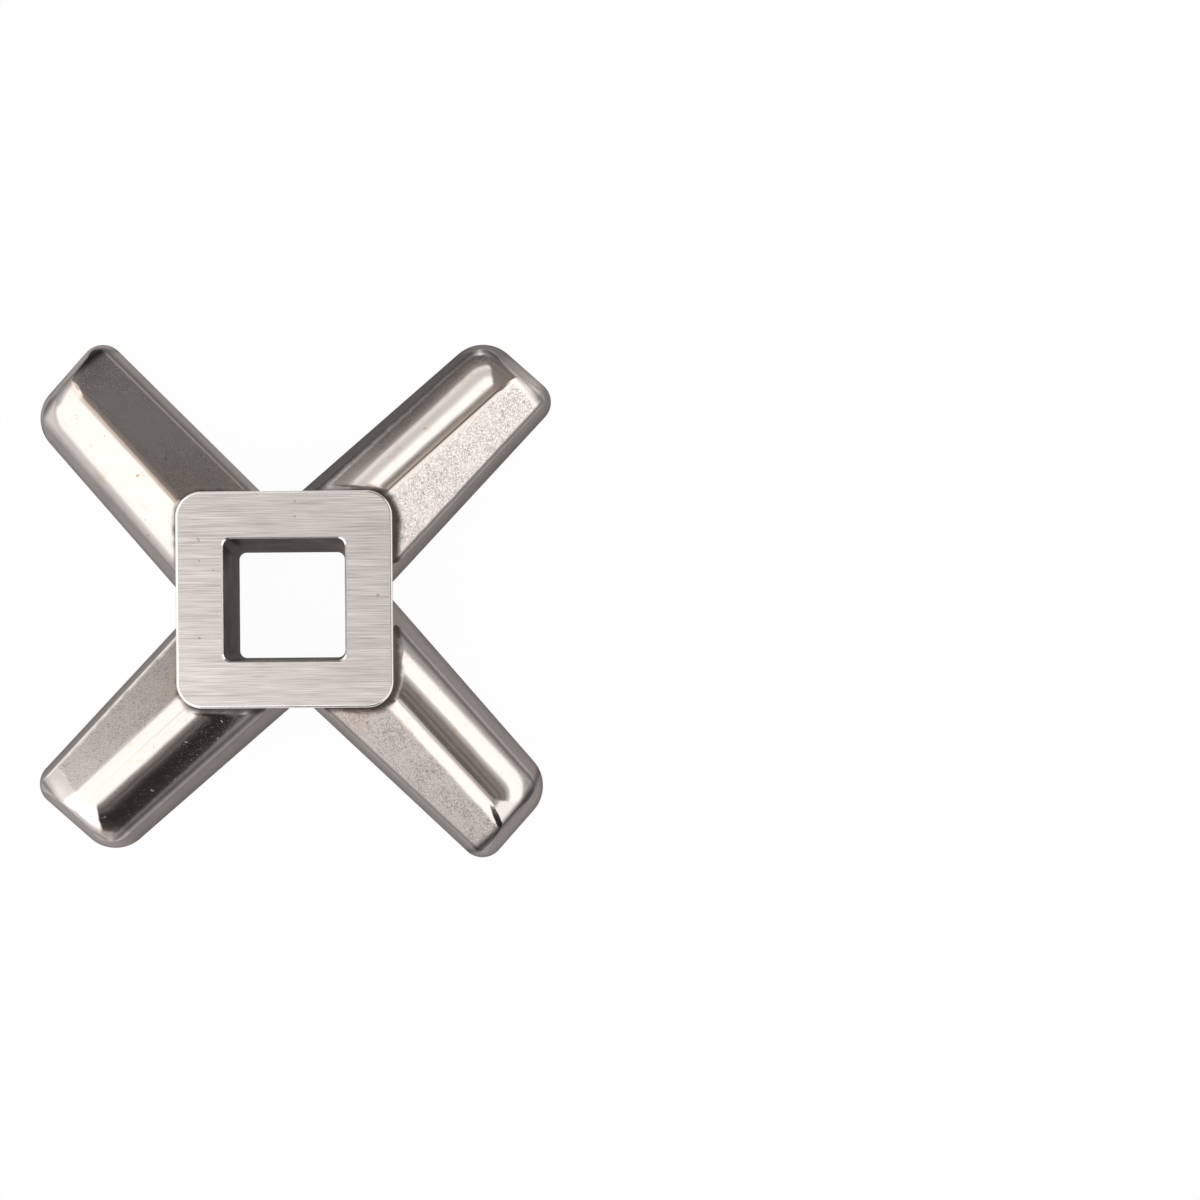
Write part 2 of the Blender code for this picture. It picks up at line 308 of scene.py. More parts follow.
def make_floor():
    bpy.ops.mesh.primitive_plane_add(size=FLOOR_SIZE)
    made = bpy.context.object
    made.name = "floor"
    material = bpy.data.materials.new("paper")
    material.use_nodes = True
    board = Board(material.node_tree)
    path = board.node("ShaderNodeLightPath")
    seen = Wire(board, path.outputs["Is Camera Ray"]) + Wire(board, path.outputs["Is Glossy Ray"])
    seen = seen + Wire(board, path.outputs["Is Transmission Ray"])
    plain = board.wire(0, "ShaderNodeBsdfDiffuse", None, {"Color": PAPER})
    glow = board.wire(0, "ShaderNodeEmission", None, {"Color": grey(1.0), "Strength": 1.0})
    lit = board.wire(0, "ShaderNodeMixShader", None, {"Fac": SHADOW_SHARE, 1: glow, 2: plain})
    shown = board.wire(0, "ShaderNodeMixShader", None, {"Fac": seen, 1: plain, 2: lit})
    board.node("ShaderNodeOutputMaterial", None, {"Surface": shown})
    made.data.materials.append(material)
    return made


floor = make_floor()
print(floor.name, FLOOR_SIZE, "m square")

# %% [markdown]
# ## The sizes
#
# The knife is measured from its cutting face up. The hub is square with rounded corners and its hole widens a
# little upwards, as a cast hole must to come off its core. A blade is described looking outwards from the
# hub: x runs out along it and y to its left. Its left half is the rounded flank, its right half is the flat
# sloping facet, and the crest lies between them.

# %% Sizes
# Drive hub and its square hole. The hole's side is measured at the cutting face, where the hole lies off the
# axis by its lean. The flare breaks the edge of its mouth.
HUB_SIDE = 0.0196
HUB_HEIGHT = 0.0125
HUB_CORNER = 0.0023
HOLE_SIDE = 0.0104
HOLE_CORNER = 0.0007
HOLE_DRAFT = math.radians(1.4)
HOLE_LEAN = 0.0003
RIM_ROUND = 0.00025
HOLE_FLARE = 0.00014

# Blades, seen from above
BLADE_REACH = 0.0317
TIP_SKEW = math.radians(3.2)
FLANK_OFFSET = 0.0077
FLANK_TAPER = math.radians(4.3)
FACET_OFFSET = 0.0061
FACET_TAPER = math.radians(1.2)
CREST_OFFSET = 0.0014
CREST_TURN = math.radians(3.1)
FLANK_CORNER = 0.0037
FACET_CORNER = 0.0022

# Blades, in section. The crest's height and the flank wall's are measured at the hub.
CREST_HEIGHT = 0.0080
FLANK_WALL = 0.0055
FLANK_SINK = math.radians(2.9)
FACET_WALL = 0.0037
SIDE_DRAFT = math.radians(13.5)
TIP_DRAFT = math.radians(20.0)
CREST_ROUND = 0.0007
EDGE_ROUND = 0.0003
FLANK_FULLNESS = 1.8

# The upper face falls over this run to the end wall, by this share of the flank's own fall. The blend
# sets how square the bands are where they turn round the tip.
TIP_RUN = 0.0026
TIP_SHARE = 0.62
TIP_BLEND = 2.4

# Concave fillet where a blade meets the hub
FILLET_RUN = 0.0011
FILLET_RISE = 0.0009
FILLET_FULLNESS = 2.5

# How far inside the hub a blade starts, and how far that start is turned from the hub's wall
ROOT_OVERLAP = 0.0005
ROOT_TURN = math.radians(2.0)

# Each blade was finished by hand: how its reach, sides and crest differ from the sizes above.
BladeTrim = namedtuple("BladeTrim", "reach flank facet taper crest")
TRIMS = (
    BladeTrim(1.027, 1.000, 0.975, math.radians(0.6), 0.8),
    BladeTrim(1.000, 1.010, 0.911, math.radians(-1.3), 0.8),
    BladeTrim(0.972, 1.006, 1.099, math.radians(0.5), 2.6),
    BladeTrim(0.997, 0.993, 1.022, math.radians(0.3), 1.8),
)

print("hub", MM * HUB_SIDE, "mm square and", MM * HUB_HEIGHT, "mm tall")
print("blades reach", MM * BLADE_REACH, "mm out from the middle")

# %% [markdown]
# ## The blade's outline
#
# Each side of a blade is a straight line that leans a little inwards towards the tip. Two arcs of unlike
# radius join the sides to the blade's straight end. Written as formulas, every later step can ask where a
# side is at a given distance from the hub. A drawn curve would have to be searched for it each time.

# %% Sides of a blade
END_LEAN = FLANK_WALL * math.tan(TIP_DRAFT)


def unit(angle):
    return Vector((math.cos(angle), math.sin(angle)))

def clamp(value):
    return min(max(value, 0.0), 1.0)

def flank_side(trim, x):
    return FLANK_OFFSET * trim.flank - x * math.tan(FLANK_TAPER)

def facet_side(trim, x):
    return -FACET_OFFSET * trim.facet + x * math.tan(FACET_TAPER + trim.taper)

def crest_side(x):
    return CREST_OFFSET - x * math.tan(CREST_TURN)

def tip_line(trim, y):
    return BLADE_REACH * trim.reach - y * math.tan(TIP_SKEW)

def tip_inside(trim, x, y):
    """How far in from the upper edge of the end wall a point lies."""
    return tip_line(trim, y) - x - END_LEAN

def facet_edge(trim, x):
    """The y of the facet's lower edge, on top of its wall."""
    return facet_side(trim, x) + FACET_WALL * math.tan(SIDE_DRAFT)

def flank_wall(x):
    """The height of the flank's wall, which sinks towards the tip."""
    return FLANK_WALL - (x - HUB_SIDE / 2) * math.tan(FLANK_SINK)

def flank_edge(trim, x):
    """The y of the flank's lower edge, on top of its wall."""
    return flank_side(trim, x) - flank_wall(x) * math.tan(SIDE_DRAFT)


for x in (HUB_SIDE, BLADE_REACH):
    width = flank_side(TRIMS[0], x) - facet_side(TRIMS[0], x)
    print("the first blade is", round(MM * width, 1), "mm wide at", round(MM * x, 1), "mm out")

# %% [markdown]
# ## The blade's upper face
#
# The upper face could be sculpted or cut from a block. A height formula is better here, because the facet
# has to be truly flat for its reflection to be even, and the flank has to be truly smooth for its bands to
# run evenly. The facet is a plane that rises to the crest, the crest is eased over about a millimetre, the
# flank falls ever faster towards its wall and wraps round the tip, and a concave fillet lifts the face at
# the hub.

# %% Height of the upper face
def crest_round(trim):
    return CREST_ROUND * trim.crest

def facet_slope(trim):
    """The slope that brings the flat facet up to the crest's height at the hub's corner."""
    x = HUB_SIDE / math.sqrt(2)
    width = crest_side(x) - crest_round(trim) / 2 - facet_edge(trim, x)
    return (CREST_HEIGHT - FACET_WALL) / width

def hub_gap(x, y):
    """How far a point lies outside the hub, seen from above. The blade starts at a corner of the hub."""
    flat = HUB_SIDE / 2 - HUB_CORNER
    a = (x + y) / math.sqrt(2) - flat
    b = (x - y) / math.sqrt(2) - flat
    if a > 0 and b > 0:
        return math.hypot(a, b) - HUB_CORNER
    return max(a, b) - HUB_CORNER

def tip_share(trim, x, y):
    """How far the upper face is into its fall at the tip, from 0 before it."""
    return TIP_SHARE * max(0.0, 1 - tip_inside(trim, x, y) / TIP_RUN)

def upper_height(trim, x, y):
    """The height of the upper face: a flat facet, a rounded crest, a full flank and the fillet at the hub."""
    crest = crest_side(x)
    slope = facet_slope(trim)
    ease = crest_round(trim)
    top = FACET_WALL + slope * (crest - ease / 2 - facet_edge(trim, x))
    fall = top - flank_wall(x)
    at_tip = tip_share(trim, x, y)
    if y > crest:
        across = (y - crest) / (flank_edge(trim, x) - crest)
        share = (across**TIP_BLEND + at_tip**TIP_BLEND) ** (1 / TIP_BLEND)
        height = top - fall * share**FLANK_FULLNESS
    else:
        near = max(0.0, 1 - (crest - y) / (crest - facet_edge(trim, x)))
        height = top - slope * max(crest - y - ease / 2, 0.0)
        if crest - y < ease:
            height = top - slope * (crest - y) ** 2 / (2 * ease)
        height -= fall * at_tip**FLANK_FULLNESS * near**2
    lift = max(0.0, 1 - hub_gap(x, y) / FILLET_RUN)
    return height + FILLET_RISE * lift**FILLET_FULLNESS


slopes = [round(math.degrees(math.atan(facet_slope(trim))), 1) for trim in TRIMS]
print("the facets slope by", slopes, "degrees")

# %% [markdown]
# ## Rows round the rim
#
# The mesh of a blade is a fan of rows. They start at the hub, follow the flank, turn round the tip and come
# back along the facet. Each row climbs the wall from the foot, rounds the upper edge and runs in to the
# crest. Edges then follow the rim and the crest, which a grid of squares can't do.
#
# Hand polishing leaves a flank with very low swells. They are far too low to see by themselves, but they make
# the edges of the reflected bands wander, so they are put in the mesh and not in the shader.

# %% Rows of a blade
Side = namedtuple("Side", "facing distance draft")
RimPlace = namedtuple("RimPlace", "point facing draft")
FILLET_ROWS = 14
SIDE_ROWS = 40
FLANK_CORNER_ROWS = 28
END_ROWS = 13
FACET_CORNER_ROWS = 16
WALL_COLUMNS = 6
EDGE_COLUMNS = 5
TOP_COLUMNS = 44
COLUMN_CROWDING = 1.3
SETTLING_STEPS = 8
WELD_DISTANCE = 1e-6
SWELL_HEIGHT = 0.000012
SWELL_SIZE = 0.0026


def hub_line(out, y):
    """How far out along the blade the hub's wall lies at this y, grown outwards by out."""
    radius = HUB_CORNER + out
    point = (HUB_SIDE / 2 + out) * math.sqrt(2)
    if abs(y) > radius / math.sqrt(2):
        return point - abs(y)
    return point - radius * math.sqrt(2) + math.sqrt(radius * radius - y * y)

def settle(line, side, x):
    """The x where a side, given as y at x, crosses a line, given as x at y."""
    for _ in range(SETTLING_STEPS):
        x = line(side(x))
    return x

def corner_centre(first, second, radius):
    """The centre of the arc that joins two sides."""
    a, b = unit(first.facing), unit(second.facing)
    near_a, near_b = first.distance - radius, second.distance - radius
    spread = a.x * b.y - a.y * b.x
    return Vector((near_a * b.y - near_b * a.y, near_b * a.x - near_a * b.x)) / spread

def corner_places(first, second, radius, count):
    """Places round the arc that joins two sides. The draft changes from the first side's to the second's."""
    centre = corner_centre(first, second, radius)
    places = []
    for index in range(count + 1):
        share = index / count
        facing = first.facing + (second.facing - first.facing) * share
        draft = first.draft + (second.draft - first.draft) * share
        places.append(RimPlace(centre + radius * unit(facing), facing, draft))
    return places

def end_places(start, middle, stop):
    """Places along the straight end of the tip, one of them on the crest's line."""
    places = []
    for near, far in ((start, middle), (middle, stop)):
        for index in range(END_ROWS):
            point = near.lerp(far, (index + 1) / END_ROWS)
            places.append(RimPlace(point, TIP_SKEW, TIP_DRAFT))
    return places[:-1]

def tip_places(trim):
    """The rim's places round the tip, from the end of the flank's straight side to that of the facet's."""
    taper = FACET_TAPER + trim.taper
    reach = BLADE_REACH * trim.reach
    flank_distance = FLANK_OFFSET * trim.flank * math.cos(FLANK_TAPER)
    facet_distance = FACET_OFFSET * trim.facet * math.cos(taper)
    flank = Side(math.pi / 2 - FLANK_TAPER, flank_distance, SIDE_DRAFT)
    end = Side(TIP_SKEW, reach * math.cos(TIP_SKEW), TIP_DRAFT)
    facet = Side(taper - math.pi / 2, facet_distance, SIDE_DRAFT)
    first = corner_places(flank, end, FLANK_CORNER, FLANK_CORNER_ROWS)
    last = corner_places(end, facet, FACET_CORNER, FACET_CORNER_ROWS)
    crest_x = settle(partial(tip_line, trim), crest_side, reach)
    middle = Vector((crest_x, crest_side(crest_x)))
    return first + end_places(first[-1].point, middle, last[0].point) + last

def crest_end(trim):
    """Where the crest stops and the rows start to fan out round the tip."""
    x = settle(partial(tip_line, trim), crest_side, BLADE_REACH * trim.reach) - END_LEAN - TIP_RUN / 2
    return Vector((x, crest_side(x)))

def root_line(y):
    """Where a blade starts inside the hub. The turn keeps two blades from starting in one plane."""
    return hub_line(-ROOT_OVERLAP, y) + y * math.tan(ROOT_TURN)

def column_shares():
    """The columns' places on the upper face, from 1 at its rim to 0 at the crest."""
    shares = [(index / TOP_COLUMNS) ** COLUMN_CROWDING for index in range(TOP_COLUMNS + 1)]
    return shares[::-1]


def swell(trim, x, y):
    """The low swell that polishing left on the flank at this place. The facet was ground flat."""
    share = clamp((y - crest_side(x)) / crest_round(trim))
    return SWELL_HEIGHT * share * noise.noise(Vector((x, y, trim.reach)) / SWELL_SIZE)


def face_point(trim, place):
    height = upper_height(trim, *place) + swell(trim, *place)
    return Vector((*place, height))


def row_points(trim, foot, top, path):
    """One row from the foot up the wall, round its upper edge and along the upper face to the crest."""
    foot = foot.to_3d()
    peak = Vector((*top, upper_height(trim, *top)))
    wall = peak + (foot - peak).normalized() * EDGE_ROUND
    inner = 1 - EDGE_ROUND / (top - path(0.0)).length
    points = [foot.lerp(wall, index / WALL_COLUMNS) for index in range(WALL_COLUMNS)]
    face = [face_point(trim, path(inner * share)) for share in column_shares()]
    for index in range(EDGE_COLUMNS):
        share = index / EDGE_COLUMNS
        points.append(wall.lerp(peak, share).lerp(peak.lerp(face[0], share), share))
    return points + face


def fillet_row(trim, side, inward, line):
    """A row near the hub, along a line that follows the hub's wall."""
    foot_x = settle(line, side, HUB_SIDE / 2)
    crest_y = crest_side(settle(line, crest_side, HUB_SIDE / 2))
    foot = top = Vector((foot_x, side(foot_x)))
    for _ in range(SETTLING_STEPS):
        y = side(top.x) + inward * upper_height(trim, *top) * math.tan(SIDE_DRAFT)
        top = Vector((line(y), y))

    def path(share):
        y = crest_y + share * (top.y - crest_y)
        return Vector((line(y), y))

    return row_points(trim, foot, top, path)

def tip_row(trim, place):
    """A row of the fan round the tip, which runs straight in from the rim to the crest's end."""
    centre = crest_end(trim)
    top = place.point
    for _ in range(SETTLING_STEPS):
        lean = upper_height(trim, *top) * math.tan(place.draft)
        top = place.point - lean * unit(place.facing)
    return row_points(trim, place.point, top, partial(centre.lerp, top))


def side_rows(trim, near, far):
    """The rows between one at the hub and one at the tip."""
    rows = []
    for index in range(1, SIDE_ROWS):
        row = [start.lerp(stop, index / SIDE_ROWS) for start, stop in zip(near, far)]
        for point in row[WALL_COLUMNS + EDGE_COLUMNS :]:
            point.z = face_point(trim, point.to_2d()).z
        rows.append(row)
    return rows


def blade_rows(trim):
    """All rows of a blade, from the hub along the flank, round the tip and back along the facet."""
    lines = [root_line]
    for index in range(FILLET_ROWS):
        lines.append(partial(hub_line, FILLET_RUN * (index + 1) / FILLET_ROWS))
    flank = [fillet_row(trim, partial(flank_side, trim), -1, line) for line in lines]
    facet = [fillet_row(trim, partial(facet_side, trim), 1, line) for line in lines]
    tip = [tip_row(trim, place) for place in tip_places(trim)]
    flank += side_rows(trim, flank[-1], tip[0])
    facet += side_rows(trim, facet[-1], tip[-1])
    return flank + tip + facet[::-1]


first_rows = blade_rows(TRIMS[0])
print("a blade's mesh:", len(first_rows), "rows of", len(first_rows[0]), "points")

# %% [markdown]
# ## A blade as a closed mesh
#
# A flat grid gives the faces and the rows give each of its points a place, so no face is written out by hand.
# The two halves are welded along the crest. A curtain closes the root inside the hub and one large face
# closes the foot.

# %% Blade
def new_piece(name, bm):
    """A piece from this bmesh, with its faces pointing out."""
    bmesh.ops.recalc_face_normals(bm, faces=bm.faces[:])
    mesh = bpy.data.meshes.new(name)
    bm.to_mesh(mesh)
    bm.free()
    made = bpy.data.objects.new(name, mesh)
    bpy.context.scene.collection.objects.link(made)
    return made


def blade_mesh(trim):
    """A blade: its rows as one sheet, welded along the crest, with a curtain at the root and a flat foot."""
    rows = blade_rows(trim)
    last_row, last_column = len(rows) - 1, len(rows[0]) - 1
    bm = bmesh.new()
    grid = bmesh.ops.create_grid(bm, x_segments=last_row, y_segments=last_column, size=0.5)
    root = set()
    for vert in grid["verts"]:
        row = round((vert.co.x + 0.5) * last_row)
        vert.co = rows[row][round((vert.co.y + 0.5) * last_column)]
        if row in (0, last_row):
            root.add(vert)
    ends = [edge for edge in bm.edges if edge.is_boundary and root.issuperset(edge.verts)]
    curtain = bmesh.ops.extrude_edge_only(bm, edges=ends)["geom"]
    for vert in curtain:
        if isinstance(vert, bmesh.types.BMVert):
            vert.co.z = 0.0
    bmesh.ops.remove_doubles(bm, verts=bm.verts[:], dist=WELD_DISTANCE)
    rim = [edge for edge in bm.edges if edge.is_boundary]
    bmesh.ops.contextual_create(bm, geom=rim)
    return bm


def make_blade(index, trim):
    """One blade, turned to its place round the hub."""
    made = new_piece(f"blade_{index + 1}", blade_mesh(trim))
    made.rotation_euler.z = math.radians(45 + 360 / len(TRIMS) * index)
    return made


blades = [make_blade(index, trim) for index, trim in enumerate(TRIMS)]
print("blades:", [len(blade.data.polygons) for blade in blades], "faces")

# %% [markdown]
# ## The hub and the union
#
# The hub is a block with rounded upright corners and a rounded rim, with the tapered hole cut out of it. Its
# rim catches a thin line of light, so it gets five segments here. The blades are then joined to the hub by
# Boolean unions: a casting is one body of steel, and a seam where two pieces only touch would show.

# %% Hub and union
CORNER_SEGMENTS = 16
RIM_SEGMENTS = 5
CUTTER_MARGIN = 0.002
SHARP_ANGLE = math.radians(25)


def round_edges(bm, edges, radius, segments):
    bmesh.ops.bevel(bm, geom=edges, offset=radius, segments=segments, profile=0.5, affect="EDGES")

def square_block(side, base, top, corner, draft):
    """A square block with rounded upright corners. Its side, given at height 0, grows with the draft."""
    bm = bmesh.new()
    bmesh.ops.create_cube(bm, size=1.0)
    for vert in bm.verts:
        vert.co.z = top if vert.co.z > 0 else base
        half = side / 2 + vert.co.z * math.tan(draft)
        vert.co.x = math.copysign(half, vert.co.x)
        vert.co.y = math.copysign(half, vert.co.y)
    upright = [edge for edge in bm.edges if edge.verts[0].co.z != edge.verts[1].co.z]
    round_edges(bm, upright, corner, CORNER_SEGMENTS)
    return bm

def top_face(bm):
    return max(bm.faces, key=lambda face: face.calc_center_median().z)

def hub_block():
    """The hub before its hole is cut, with the rim of its top face rounded."""
    bm = square_block(HUB_SIDE, 0.0, HUB_HEIGHT, HUB_CORNER, 0.0)
    round_edges(bm, top_face(bm).edges[:], RIM_ROUND, RIM_SEGMENTS)
    return bm

def hole_block():
    """The drive hole as a solid, with a flare at its mouth that breaks the edge."""
    bm = square_block(HOLE_SIDE, -CUTTER_MARGIN, HUB_HEIGHT - HOLE_FLARE, HOLE_CORNER, HOLE_DRAFT)
    for vert in bm.verts:
        vert.co.y -= HOLE_LEAN * (1 - vert.co.z / HUB_HEIGHT)
    mouth = top_face(bm)
    half = max(vert.co.x for vert in mouth.verts)
    made = bmesh.ops.extrude_face_region(bm, geom=[mouth])["geom"]
    bm.faces.remove(mouth)
    flare = HOLE_FLARE + CUTTER_MARGIN
    for vert in made:
        if isinstance(vert, bmesh.types.BMVert):
            vert.co.x *= (half + flare) / half
            vert.co.y *= (half + flare) / half
            vert.co.z += flare
    return bm


def join(target, tool, operation):
    """Adds or cuts one piece with another and keeps the result as the mesh."""
    step = target.modifiers.new(tool.name, "BOOLEAN")
    step.operation = operation
    step.solver = "EXACT"
    step.object = tool
    bake_modifiers(target)
    bpy.data.objects.remove(tool, do_unlink=True)


def bake_modifiers(target):
    seen = target.evaluated_get(bpy.context.evaluated_depsgraph_get())
    mesh = bpy.data.meshes.new_from_object(seen)
    target.modifiers.clear()
    target.data = mesh


def keep_flats(target):
    """Smooth shading between sharp edges, in which the large flat faces stay flat up to their edges."""
    target.data.shade_smooth()
    target.data.set_sharp_from_angle(angle=SHARP_ANGLE)
    step = target.modifiers.new("flats", "WEIGHTED_NORMAL")
    step.keep_sharp = True
    step.weight = 100
    bake_modifiers(target)


knife = new_piece("knife", hub_block())
join(knife, new_piece("drive_hole", hole_block()), "DIFFERENCE")
for blade in blades:
    join(knife, blade, "UNION")
keep_flats(knife)
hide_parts("grinder_knife")
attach(knife, "root")
print("knife:", len(knife.data.polygons), "faces")

# %% [markdown]
# ## Measures for the finishes
#
# Every finish stops or changes at a real place: the grinding ends at the crest, the dirt and a painted shade
# lie at the hub, the casting's skin starts below the upper edge. The mesh therefore carries a few measures at
# each point, worked out with the same formulas as its form. Painting masks by hand would not follow a change
# of size.
#
# The blades were ground and polished by hand, so each has values of its own. Many brightness values below
# also hold painted light and shade, for the way each blade and wall faces the tent. They stand in the order
# of the blades, which runs from the one at the upper right round to the left. Distances are in millimetres,
# and brightness and depth of relief are shares.

# %% What differs from blade to blade
# A facet's brightness, partly its own tone and partly painted light for how it faces the tent, how much it
# grows with each millimetre out from the middle, and the grooves' depth
FACET_TONES_AND_LIGHT = (0.72, 0.325, 0.455, 0.46)
FACET_FADES = (0.003, 0.008, 0.028, -0.010)
FADE_MIDDLE = 22.0
FACET_RELIEFS = (1.0, 0.12, 1.0, 1.3)

# How far the skin of the walls reaches in over the facet's lower edge, and over the flank's
BORDER_SKINS = (0.2, -0.4, -0.1, 0.2)
LIP_SKINS = (0.0, 0.0, 0.4, 0.3)

# How far polish reaches in over the facet from its lower edge and from the tip, and how much a painted
# highlight brightens it
BORDER_POLISH = (-0.2, -0.6, 0.0, -0.3)
TIP_POLISH = (0.6, -0.2, 1.7, -0.3)
TIP_HIGHLIGHTS = (0.2, 0.0, 0.45, 0.0)

# How tan the line along the crest is
CREST_TANS = (0.5, 0.6, 0.1, 0.1)

# Brightness of the walls below the flank and the facet, which blend over this many metres, and of the hub's.
# The blades' values are partly the skin's tone and partly painted light and shade, for how each wall faces
# the tent.
FLANK_SKIN_LIGHTS = (0.068, 0.33, 0.25, 0.30)
FACET_SKIN_LIGHTS = (0.25, 0.43, 0.27, 0.31)
SKIN_BLEND = 0.005
HUB_SKIN = 0.10

# How much a wall below a facet darkens from this depth up to its upper edge
TOP_SHADES = (0.0, 0.75, 0.0, 0.0)
TOP_SHADE_DEPTH = 1.9

# Painted light on the end wall: how many times brighter it is, how far in from its upper edge this starts,
# and the distances from the facet's edge between which it grows
TIP_WALL_LIGHTS = (2.7, 1.0, 1.4, 1.0)
TIP_LIGHT_REACH = 1.5
TIP_LIGHT_CORNER = (0.8, 2.0)

# Darkness of a painted shade line along the upper edge of the end wall, its place in from that edge, and half
# its width
TIP_SHADE_LINES = (0.0, 0.35, 0.0, 0.65)
TIP_LINE_PLACE = 0.3
TIP_LINE_HALF = 0.55

print("brightness of the facets:", FACET_TONES_AND_LIGHT)

# %% Measures
def blade_place(point):
    """The blade that a point belongs to, and its place out along that blade and to its left."""
    turn = math.pi / 2
    index = round((math.atan2(point.y, point.x) - turn / 2) / turn) % len(TRIMS)
    local = Matrix.Rotation(-turn * (index + 0.5), 2) @ point.to_2d()
    return index, local.x, local.y


def tip_shade_share(index, tip_in):
    """How dark the painted shade line along the end wall's upper edge is, this far in from that edge."""
    return TIP_SHADE_LINES[index] * max(0.0, 1 - abs(tip_in - TIP_LINE_PLACE) / TIP_LINE_HALF)


def wall_brightness(index, across, depth, facet_in, tip_in):
    """The skin's brightness with painted light and shade, by the blade's side, the depth and the tip."""
    near_top = clamp(1 - depth / TOP_SHADE_DEPTH)
    facet_skin_light = FACET_SKIN_LIGHTS[index] * (1 - TOP_SHADES[index] * near_top)
    skin = facet_skin_light + (FLANK_SKIN_LIGHTS[index] - facet_skin_light) * clamp(across / SKIN_BLEND + 0.5)
    near, far = TIP_LIGHT_CORNER
    on_tip = clamp(1 - tip_in / TIP_LIGHT_REACH) * clamp((facet_in - near) / (far - near))
    return skin * (1 + (TIP_WALL_LIGHTS[index] - 1) * on_tip)


def point_measures(point):
    """What the finishes need to know about a point. Distances are in millimetres."""
    index, x, y = blade_place(point)
    trim = TRIMS[index]
    across, gap = y - crest_side(x), hub_gap(x, y)
    depth = MM * (upper_height(trim, x, y) - point.z)
    facet_in, flank_in = MM * (y - facet_edge(trim, x)), MM * (flank_edge(trim, x) - y)
    tip_in = MM * tip_inside(trim, x, y)
    # A painted shade line along the tip's upper edge
    line = tip_shade_share(index, tip_in)
    # The walls' brightness, partly painted light and shade
    skin = wall_brightness(index, across, depth, facet_in, tip_in)
    on_blade = gap > WELD_DISTANCE
    # A facet's tone here is partly painted light, set blade by blade
    return {
        "along": MM * x,
        "across": MM * across,
        "ridge": MM * (across + crest_round(trim)),
        "depth": depth,
        "gap": MM * gap,
        "border": min(facet_in - BORDER_SKINS[index], tip_in),
        "rim": min(facet_in - BORDER_POLISH[index], tip_in - TIP_POLISH[index]),
        "lip": min(flank_in - LIP_SKINS[index], tip_in),
        "height": MM * point.z,
        "tone": FACET_TONES_AND_LIGHT[index] * (1 + FACET_FADES[index] * (MM * x - FADE_MIDDLE)),
        "relief": FACET_RELIEFS[index],
        "tan": CREST_TANS[index],
        "shine": TIP_HIGHLIGHTS[index],
        "line": line,
        "blade": float(index),
        "skin": skin * (1 - line) if on_blade else HUB_SKIN,
    }


def carry_measures(mesh):
    rows = [point_measures(vert.co) for vert in mesh.vertices]
    for name in rows[0]:
        layer = mesh.attributes.new(name, "FLOAT", "POINT")
        layer.data.foreach_set("value", [row[name] for row in rows])
    return list(rows[0])


print("measures on the mesh:", ", ".join(carry_measures(knife.data)))

# %% [markdown]
# ## A finish as colour, roughness and height
#
# Cast, ground and polished steel run into each other on this knife. Separate materials would meet in hard
# lines along the mesh's edges. So each finish is a colour, a roughness and a height in millimetres, and a
# mask can mix two of them.

# %% Finish helpers
STEEL = (0.640, 0.590, 0.565, 1.0)
WARM_STEEL = (0.62, 0.49, 0.40, 1.0)
STAIN = (0.40, 0.27, 0.18, 1.0)
GROUND_TINT = (1.0, 0.925, 0.89, 1.0)
GROOVE_TINT = (1.0, 0.84, 0.75, 1.0)
# Dirt at the hub, mixed with painted shade where the blades meet it
GRIME_AND_SHADE = (0.085, 0.066, 0.054, 1.0)
DULL_EDGE = (0.50, 0.465, 0.445, 1.0)
SKIN_TINT = (1.0, 0.925, 0.885)
# Brighter than the steel itself: a painted highlight for the hub's rim
RIM_HIGHLIGHT_STEEL = (0.78, 0.75, 0.73)
MOULD_SKIN = (0.075, 0.067, 0.061)
Finish = namedtuple("Finish", "colour roughness height")


def mix_finishes(board, share, first, second):
    """The finish that passes from the first to the second as the share goes from 0 to 1."""
    colour = board.blend(share, first.colour, second.colour)
    roughness = first.roughness + (second.roughness - first.roughness) * share
    height = first.height + (second.height - first.height) * share
    return Finish(colour, roughness, height)


def new_steel(name):
    """An empty metal material, its board and the coordinates on the piece, in metres."""
    material = bpy.data.materials.new(name)
    material.use_nodes = True
    board = Board(material.node_tree)
    return material, board, board.wire("Object", "ShaderNodeTexCoord")


def finish_metal(material, board, finish, edge=grey(1.0)):
    """Sends a finish to the shader. A dark edge tint dulls the gloss where the surface is seen at a slant."""
    sockets = {"Height": finish.height, "Distance": 1 / MM, "Strength": 1.0}
    normal = board.wire(0, "ShaderNodeBump", None, sockets)
    sockets = {"Base Color": finish.colour, "Roughness": finish.roughness, "Metallic": 1.0}
    sockets.update({"Normal": normal, "Specular Tint": edge})
    shader = board.wire(0, "ShaderNodeBsdfPrincipled", None, sockets)
    board.node("ShaderNodeOutputMaterial", None, {"Surface": shader})
    print(material.name, "has", len(material.node_tree.nodes), "nodes")
    return material


def scratches(board, where, turn, length, width, share):
    """Thin straight scratches at one angle: 1 in a scratch. The share sets how many there are."""
    drawn = board.stretch(where, (1 / length, 1 / width, 1 / width), turn)
    field = board.noise(drawn, 1.0, detail=1.0)
    return board.ease(field, 0.80 - share, 0.84 - share)


print("the plain steel's colour:", STEEL[:3])

# %% [markdown]
# ## The ground facet
#
# A facet was ground on the raw casting, and the casting's skin shows in it as fine crooked grooves and pits.
# The middle level of a distorted noise runs in just such unbroken crooked lines, where a cell texture would
# close them into cells. The grooves change the colour as well as the height, because they hold dirt.

# %% Ground facet
GROOVE_SCALE = 3800


